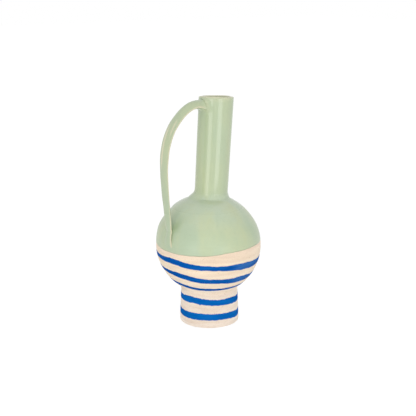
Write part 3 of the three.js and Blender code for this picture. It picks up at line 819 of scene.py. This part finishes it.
# Heights between which one look passes into the next, in metres.
FOOT_PAINTED_LIGHTER_TO_BOWL = (0.036, 0.046)
BELOW_GLAZE = (0.083, 0.091)
GLOBE_TO_NECK = (0.141, 0.150)
SATIN_TO_GLOSS = (0.128, 0.138)


class Nodes:
    """A few shorthands for building a material's node tree. Patterns are placed by the object's own
    coordinates, in metres."""

    def __init__(self, name):
        self.material = bpy.data.materials.new(name)
        self.material.use_nodes = True
        self.tree = self.material.node_tree
        self.tree.nodes.clear()
        self.out = self.add("ShaderNodeOutputMaterial")
        self.shader = self.add("ShaderNodeBsdfPrincipled")
        self.link(self.shader.outputs[0], self.out.inputs[0])
        self.place = self.add("ShaderNodeTexCoord").outputs["Object"]

    def add(self, kind, **settings):
        node = self.tree.nodes.new(kind)
        for key, value in settings.items():
            setattr(node, key, value)
        return node

    def link(self, source, target):
        self.tree.links.new(source, target)

    def scaled(self, scale):
        """The object's coordinates, squeezed or stretched along each axis."""
        node = self.add("ShaderNodeMapping")
        node.inputs["Scale"].default_value = scale
        self.link(self.place, node.inputs["Vector"])
        return node.outputs[0]

    def noise(self, scale, detail=3.0, rough=0.5, stretch=(1, 1, 1), distort=0.0):
        node = self.add("ShaderNodeTexNoise")
        node.inputs["Scale"].default_value = scale
        node.inputs["Detail"].default_value = detail
        node.inputs["Roughness"].default_value = rough
        node.inputs["Distortion"].default_value = distort
        self.link(self.scaled(stretch), node.inputs["Vector"])
        return node.outputs["Fac"]

    def span(self, value, low, high, to_low=0.0, to_high=1.0):
        """The value moved from one range to another, and held at that range's ends."""
        node = self.add("ShaderNodeMapRange", clamp=True)
        limits = {"From Min": low, "From Max": high, "To Min": to_low, "To Max": to_high}
        for key, number in limits.items():
            node.inputs[key].default_value = number
        self.link(value, node.inputs["Value"])
        return node.outputs[0]

    def math(self, kind, a, b):
        node = self.add("ShaderNodeMath", operation=kind)
        for socket, value in zip(node.inputs, (a, b)):
            if isinstance(value, (int, float)):
                socket.default_value = value
            else:
                self.link(value, socket)
        return node.outputs[0]

    def mix(self, factor, a, b):
        """Colour a where the factor is 0 and b where it is 1."""
        node = self.add("ShaderNodeMix", data_type="RGBA")
        for socket, value in ((node.inputs[0], factor), (node.inputs[6], a), (node.inputs[7], b)):
            if isinstance(value, (int, float, tuple)):
                socket.default_value = value
            else:
                self.link(value, socket)
        return node.outputs[2]

    def height(self):
        node = self.add("ShaderNodeSeparateXYZ")
        self.link(self.place, node.inputs[0])
        return node.outputs["Z"]

    def attribute(self, name):
        """What the mesh holds under this name at each point."""
        return self.add("ShaderNodeAttribute", attribute_name=name).outputs["Fac"]

    def bump(self, height, strength, distance, under=None):
        """A relief in the surface's normal, over another one if given."""
        node = self.add("ShaderNodeBump")
        node.inputs["Strength"].default_value = strength
        node.inputs["Distance"].default_value = distance
        self.link(height, node.inputs["Height"])
        if under is not None:
            self.link(under, node.inputs["Normal"])
        return node.outputs[0]

    def finish(self, colour, roughness, normal, level):
        """Connects the shader and returns the finished material."""
        self.link(colour, self.shader.inputs["Base Color"])
        if isinstance(roughness, float):
            self.shader.inputs["Roughness"].default_value = roughness
        else:
            self.link(roughness, self.shader.inputs["Roughness"])
        self.link(normal, self.shader.inputs["Normal"])
        self.shader.inputs["Specular IOR Level"].default_value = level
        self.shader.inputs["IOR"].default_value = GLASSY_IOR
        return self.material


def celadon():
    """A pale green glaze: drifts and runs of tone, greener where it pooled, painted shade in creases,
    painted light over the globe's top, a painted highlight on the strap's ridges, and buff where thin.
    """
    n = Nodes("celadon_glaze")
    broad = n.noise(22, 3, 0.55, (1, 1, 0.7), 0.6)
    runs = n.noise(55, 3, 0.5, (1, 1, 0.22), 0.3)
    fine = n.noise(420, 2, 0.5)
    patch = n.noise(30, 2, 0.5, (1, 1, 0.8), 0.8)
    height = n.height()
    base = n.mix(n.span(broad, 0.36, 0.66), linear(183, 199, 167), linear(190, 203, 168))
    base = n.mix(n.span(patch, 0.52, 0.68, 0, 0.6), base, linear(181, 199, 172))
    base = n.mix(n.span(patch, 0.48, 0.34, 0, 0.55), base, linear(195, 205, 166))
    # Painted light: paler over the top of the globe.
    base = n.mix(n.math("MULTIPLY", n.attribute("dome"), 0.65), base, linear(199, 212, 190))
    base = n.mix(n.span(height, *GLOBE_TO_NECK, 0, 0.6), base, linear(189, 201, 165))
    base = n.mix(n.span(runs, 0.5, 0.72, 0, 0.6), base, linear(198, 206, 164))
    base = n.mix(n.span(runs, 0.5, 0.3, 0, 0.45), base, linear(176, 195, 166))
    base = n.mix(n.span(fine, 0.58, 0.8, 0, 0.3), base, linear(176, 190, 154))
    # Darker green where the glaze pooled, and painted shade in the creases and corners.
    base = n.mix(n.math("MULTIPLY", n.attribute("glaze_pool_and_shade"), 0.5), base, linear(166, 185, 146))
    # Buff where the glaze is thin, and a painted highlight along the strap's ridges.
    uneven = n.span(broad, 0.3, 0.7, -0.15, 0.15)
    thin_glaze_and_ridge_highlight = n.span(n.math("ADD", n.attribute("thin"), uneven), 0.08, 0.95)
    base = n.mix(thin_glaze_and_ridge_highlight, base, linear(220, 216, 184))
    dimple = n.noise(260, 2, 0.5)
    wave = n.noise(38, 2, 0.4)
    normal = n.bump(wave, 0.16, 0.0009)
    normal = n.bump(dimple, 0.08, 0.0001, normal)
    # The coat is glossy on the neck and the upper handle, and satin over the globe.
    satin = n.span(height, *SATIN_TO_GLOSS, 0.25, 0.0)
    roughness = n.math("ADD", n.span(fine, 0.3, 0.7, 0.05, 0.08), satin)
    return n.finish(base, roughness, normal, 0.5)


def bare_clay():
    """Unglazed cream stoneware with throwing lines, grain and a few darker specks, and with painted
    light: lighter on the foot than on the bowl.
    """
    n = Nodes("bare_clay")
    broad = n.noise(16, 3, 0.55, (1, 1, 1.6))
    lines = n.noise(260, 3, 0.55, (0.12, 0.12, 1.0), 0.2)
    grain = n.noise(1100, 3, 0.65)
    speck = n.noise(620, 2, 0.5)
    height = n.height()
    bowl = n.mix(n.span(broad, 0.35, 0.68), linear(243, 227, 205), linear(250, 235, 213))
    # Painted light: the foot is the same clay as the bowl, painted lighter.
    foot = n.mix(n.span(broad, 0.35, 0.68), linear(246, 234, 221), linear(252, 242, 230))
    base = n.mix(n.span(height, *FOOT_PAINTED_LIGHTER_TO_BOWL), foot, bowl)
    # The clay is blushed just below the glaze.
    base = n.mix(n.span(height, *BELOW_GLAZE, 0, 0.35), base, linear(243, 222, 206))
    base = n.mix(n.span(lines, 0.35, 0.7, 0, 0.5), base, linear(226, 205, 182))
    base = n.mix(n.span(grain, 0.5, 0.72, 0, 0.5), base, linear(214, 192, 168))
    base = n.mix(n.span(speck, 0.68, 0.76, 0, 0.6), base, linear(190, 160, 132))
    normal = n.bump(lines, 0.5, 0.00035)
    normal = n.bump(grain, 0.45, 0.00022, normal)
    n.shader.inputs["Diffuse Roughness"].default_value = 0.8
    return n.finish(base, n.span(grain, 0.3, 0.7, 0.78, 0.92), normal, 0.18)


def blue_slip(seed):
    """Matt cobalt slip with brush streaks, worn at its edges, paler where the brush ran dry, and with
    painted light: lighter on the foot than on the bowl.
    """
    n = Nodes(f"blue_slip_{seed}")
    streak = n.noise(330 + 13 * seed, 3, 0.6, (0.07, 0.07, 1.0), 0.15)
    cloud = n.noise(48 + 5 * seed, 3, 0.55)
    grain = n.noise(1100, 3, 0.6)
    upper = n.mix(n.span(streak, 0.36, 0.66), linear(0, 76, 158), linear(4, 94, 180))
    # Painted light: the same slip, painted lighter on the foot.
    lower = n.mix(n.span(streak, 0.36, 0.66), linear(0, 92, 176), linear(4, 110, 196))
    base = n.mix(n.span(n.height(), *FOOT_PAINTED_LIGHTER_TO_BOWL), lower, upper)
    base = n.mix(n.span(cloud, 0.5, 0.75, 0, 0.45), base, linear(22, 108, 190))
    worn = n.math("MULTIPLY", n.attribute("edge"), n.span(grain, 0.35, 0.7, 0.1, 0.75))
    base = n.mix(worn, base, linear(60, 120, 184))
    dry = n.math("MULTIPLY", n.attribute("dry"), n.span(streak, 0.3, 0.7, 0.2, 0.5))
    base = n.mix(dry, base, linear(84, 132, 190))
    normal = n.bump(streak, 0.5, 0.00025)
    normal = n.bump(grain, 0.35, 0.00018, normal)
    return n.finish(base, 0.85, normal, 0.03)


glaze_material = celadon()
for piece in (glazed_pot, strap):
    piece.data.materials.append(glaze_material)
bare_foot.data.materials.append(bare_clay())
for index, piece in enumerate(bands):
    piece.data.materials.append(blue_slip(index))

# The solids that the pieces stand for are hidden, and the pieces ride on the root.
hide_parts("upper_dome", "neck_tube", "neck_joint_coil")
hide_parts("handle_strap", "handle_top_lute", "handle_tail_lute")
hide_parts("base_slab", "foot_wall", "lower_bowl")
for piece, name in zip(bands, BAND_EDGES):
    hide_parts(name)
for piece in (glazed_pot, strap, bare_foot, *bands):
    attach(piece, "root")


# The sky's light, which is strongest overhead, and the floor, with its half width in metres.
SKY_LOW = 0.48
SKY_HIGH = 0.78
FLOOR_HALF = 6
FLOOR_SHADOW_SHARE = 0.2
FLOOR_WHITE = 1.1


def white_to_the_eye(tree, shader, shadow_share, strength=1.0):
    """Adds plain white for camera, glossy and transmission rays over a share of the lit colour."""
    path = tree.nodes.new("ShaderNodeLightPath")
    seen = path.outputs["Is Camera Ray"]
    for name in ("Is Glossy Ray", "Is Transmission Ray"):
        either = tree.nodes.new("ShaderNodeMath")
        either.operation = "MAXIMUM"
        tree.links.new(seen, either.inputs[0])
        tree.links.new(path.outputs[name], either.inputs[1])
        seen = either.outputs[0]
    amount = tree.nodes.new("ShaderNodeMath")
    amount.operation = "MULTIPLY"
    amount.inputs[1].default_value = 1 - shadow_share
    tree.links.new(seen, amount.inputs[0])
    white = tree.nodes.new("ShaderNodeEmission" if shadow_share else "ShaderNodeBackground")
    white.inputs[0].default_value = (1, 1, 1, 1)
    white.inputs[1].default_value = strength
    mix = tree.nodes.new("ShaderNodeMixShader")
    tree.links.new(amount.outputs[0], mix.inputs[0])
    tree.links.new(shader, mix.inputs[1])
    tree.links.new(white.outputs[0], mix.inputs[2])
    return mix.outputs[0]


floor_mesh = bpy.data.meshes.new("floor")
corners = [(-1, -1), (1, -1), (1, 1), (-1, 1)]
floor_mesh.from_pydata([(x * FLOOR_HALF, y * FLOOR_HALF, 0) for x, y in corners], [], [(0, 1, 2, 3)])
floor = bpy.data.objects.new("floor", floor_mesh)
bpy.context.scene.collection.objects.link(floor)
floor_material = bpy.data.materials.new("floor")
floor_material.use_nodes = True
floor_tree = floor_material.node_tree
floor_shader = floor_tree.nodes["Principled BSDF"]
floor_shader.inputs["Base Color"].default_value = (1, 1, 1, 1)
floor_shader.inputs["Roughness"].default_value = 1.0
floor_shader.inputs["Specular IOR Level"].default_value = 0.0
floor_out = floor_tree.nodes["Material Output"]
floor_seen = white_to_the_eye(floor_tree, floor_shader.outputs[0], FLOOR_SHADOW_SHARE, FLOOR_WHITE)
floor_tree.links.new(floor_seen, floor_out.inputs[0])
floor_mesh.materials.append(floor_material)

world = bpy.data.worlds.new("studio")
bpy.context.scene.world = world
world.use_nodes = True
world_tree = world.node_tree
soft = world_tree.nodes["Background"]
soft.inputs[0].default_value = (1.0, 1.0, 1.0, 1)
heading = world_tree.nodes.new("ShaderNodeTexCoord")
upward = world_tree.nodes.new("ShaderNodeSeparateXYZ")
world_tree.links.new(heading.outputs["Generated"], upward.inputs[0])
level = world_tree.nodes.new("ShaderNodeMapRange")
for key, number in (("From Min", 0.0), ("From Max", 0.9), ("To Min", SKY_LOW), ("To Max", SKY_HIGH)):
    level.inputs[key].default_value = number
world_tree.links.new(upward.outputs["Z"], level.inputs["Value"])
world_tree.links.new(level.outputs[0], soft.inputs[1])
world_tree.links.new(white_to_the_eye(world_tree, soft.outputs[0], 0.0),
                     world_tree.nodes["World Output"].inputs[0])

view = math.radians(VIEW_DEG)
toward = Vector((math.cos(view), math.sin(view), 0))
screen_right = Vector((-math.sin(view), math.cos(view), 0))


def panel(name, turn_deg, distance, height, size, watts, aim_height):
    """An area lamp, degrees round from the photographed side, that points at the middle line."""
    light = bpy.data.lights.new(name, "AREA")
    light.shape = "RECTANGLE"
    light.size, light.size_y = size
    light.energy = watts
    lamp = bpy.data.objects.new(name, light)
    angle = math.radians(VIEW_DEG + turn_deg)
    spot = Vector((math.cos(angle) * distance, math.sin(angle) * distance, height))
    lamp.location = spot
    aim = Vector((0, 0, aim_height)) - spot
    lamp.rotation_euler = aim.to_track_quat("-Z", "Y").to_euler()
    lamp.visible_camera = False
    bpy.context.scene.collection.objects.link(lamp)
    return lamp


# Two low panels make the neck's pair of highlights, and a broad one fills in softly from above the
# camera without showing in the glaze.
PANEL_DISTANCE = 0.6
PANEL_HEIGHT = 0.135
panel("panel_left", -31, PANEL_DISTANCE, PANEL_HEIGHT, (0.24, 0.19), 0.29, PANEL_HEIGHT)
panel("panel_right", 30, PANEL_DISTANCE, PANEL_HEIGHT, (0.30, 0.19), 0.38, PANEL_HEIGHT)
fill = panel("fill", 0, 1.0, 0.5, (0.6, 0.6), 2.2, 0.13)
fill.visible_glossy = False

# The camera, fitted to the photograph: 14.2 degrees down from 1 m away, towards the middle line.
PITCH = math.radians(14.18)
CAMERA_DISTANCE = 1.0
AIM_HEIGHT = 0.127785
FOOT_ASIDE = 0.00104
SENSOR_MM = 36
LENS_MM = 78.97
PHOTO_PIXELS = 416
SHIFT_PIXELS = -0.398
camera_data = bpy.data.cameras.new("camera")
camera = bpy.data.objects.new("camera", camera_data)
camera_data.sensor_width = SENSOR_MM
camera_data.lens = LENS_MM
camera_data.shift_x = SHIFT_PIXELS / PHOTO_PIXELS
away = -toward
camera.location = (toward * CAMERA_DISTANCE * math.cos(PITCH) - screen_right * FOOT_ASIDE
                   + Vector((0, 0, AIM_HEIGHT + CAMERA_DISTANCE * math.sin(PITCH))))
look = away * math.cos(PITCH) - Vector((0, 0, math.sin(PITCH)))
camera.rotation_euler = look.to_track_quat("-Z", "Y").to_euler()
bpy.context.scene.collection.objects.link(camera)
bpy.context.scene.camera = camera
bpy.context.scene.view_settings.view_transform = "Standard"
